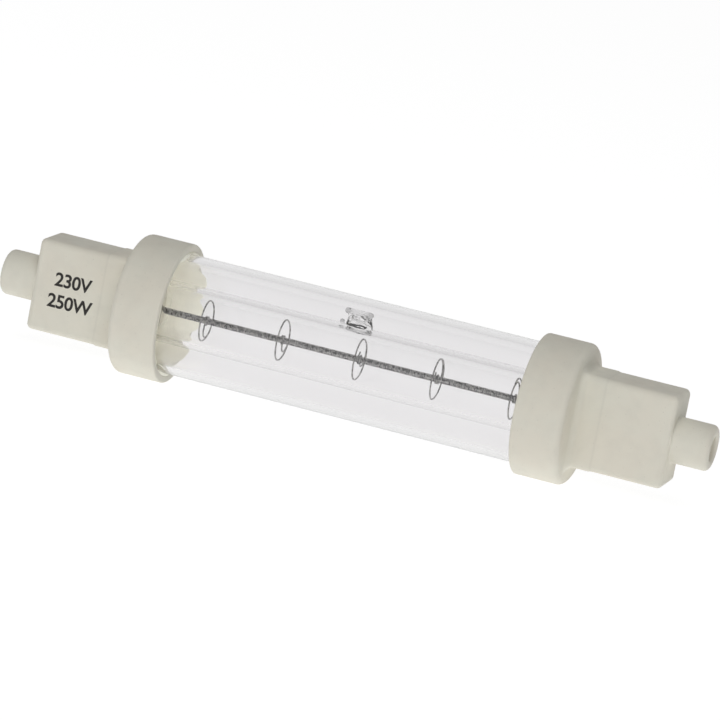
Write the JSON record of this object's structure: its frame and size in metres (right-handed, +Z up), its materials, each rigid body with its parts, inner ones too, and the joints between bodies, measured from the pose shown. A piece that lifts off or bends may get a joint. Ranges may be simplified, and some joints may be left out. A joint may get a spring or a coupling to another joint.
{
  "type": "infrared halogen heat lamp",
  "caption": "Linear two-ended halogen heat lamp: a coil filament in a sealed quartz burner inside a clear glass jacket, with ceramic end caps whose noses hold recessed contacts.",
  "frame": {"origin": "centre of the lamp, on its axis, midway between the nose ends", "axes": "+X along the lamp towards the right-hand cap, +Z up along the tall side of the caps' blocks, -Y out of their front broad faces"},
  "size_m": [0.1176, 0.0226, 0.0224],
  "materials": {
    "jacket_glass": "clear, smooth",
    "quartz_glass": "clear, smooth, pressed at the seals",
    "tungsten": "dull dark grey drawn wire",
    "molybdenum": "bright drawn wire and rolled foil",
    "contact_metal": "nickel-plated, satin",
    "cap_ceramic": "unglazed, matte warm white",
    "cement": "rough, matte warm white"
  },
  "bodies": {
    "root": {"outer_jacket": "jacket_glass", "burner_envelope": "quartz_glass", "filament_coil": "tungsten", "filament_support_1": "tungsten", "filament_support_2": "tungsten", "filament_support_3": "tungsten", "filament_support_4": "tungsten", "filament_support_5": "tungsten", "left_inner_lead": "molybdenum", "left_outer_lead": "molybdenum", "left_seal_foil": "molybdenum", "left_contact_button": "contact_metal", "left_end_cap": "cap_ceramic", "left_jacket_cement": "cement", "left_pinch_cement": "cement", "right_inner_lead": "molybdenum", "right_outer_lead": "molybdenum", "right_seal_foil": "molybdenum", "right_contact_button": "contact_metal", "right_end_cap": "cap_ceramic", "right_jacket_cement": "cement", "right_pinch_cement": "cement"}
  },
  "joints": []
}
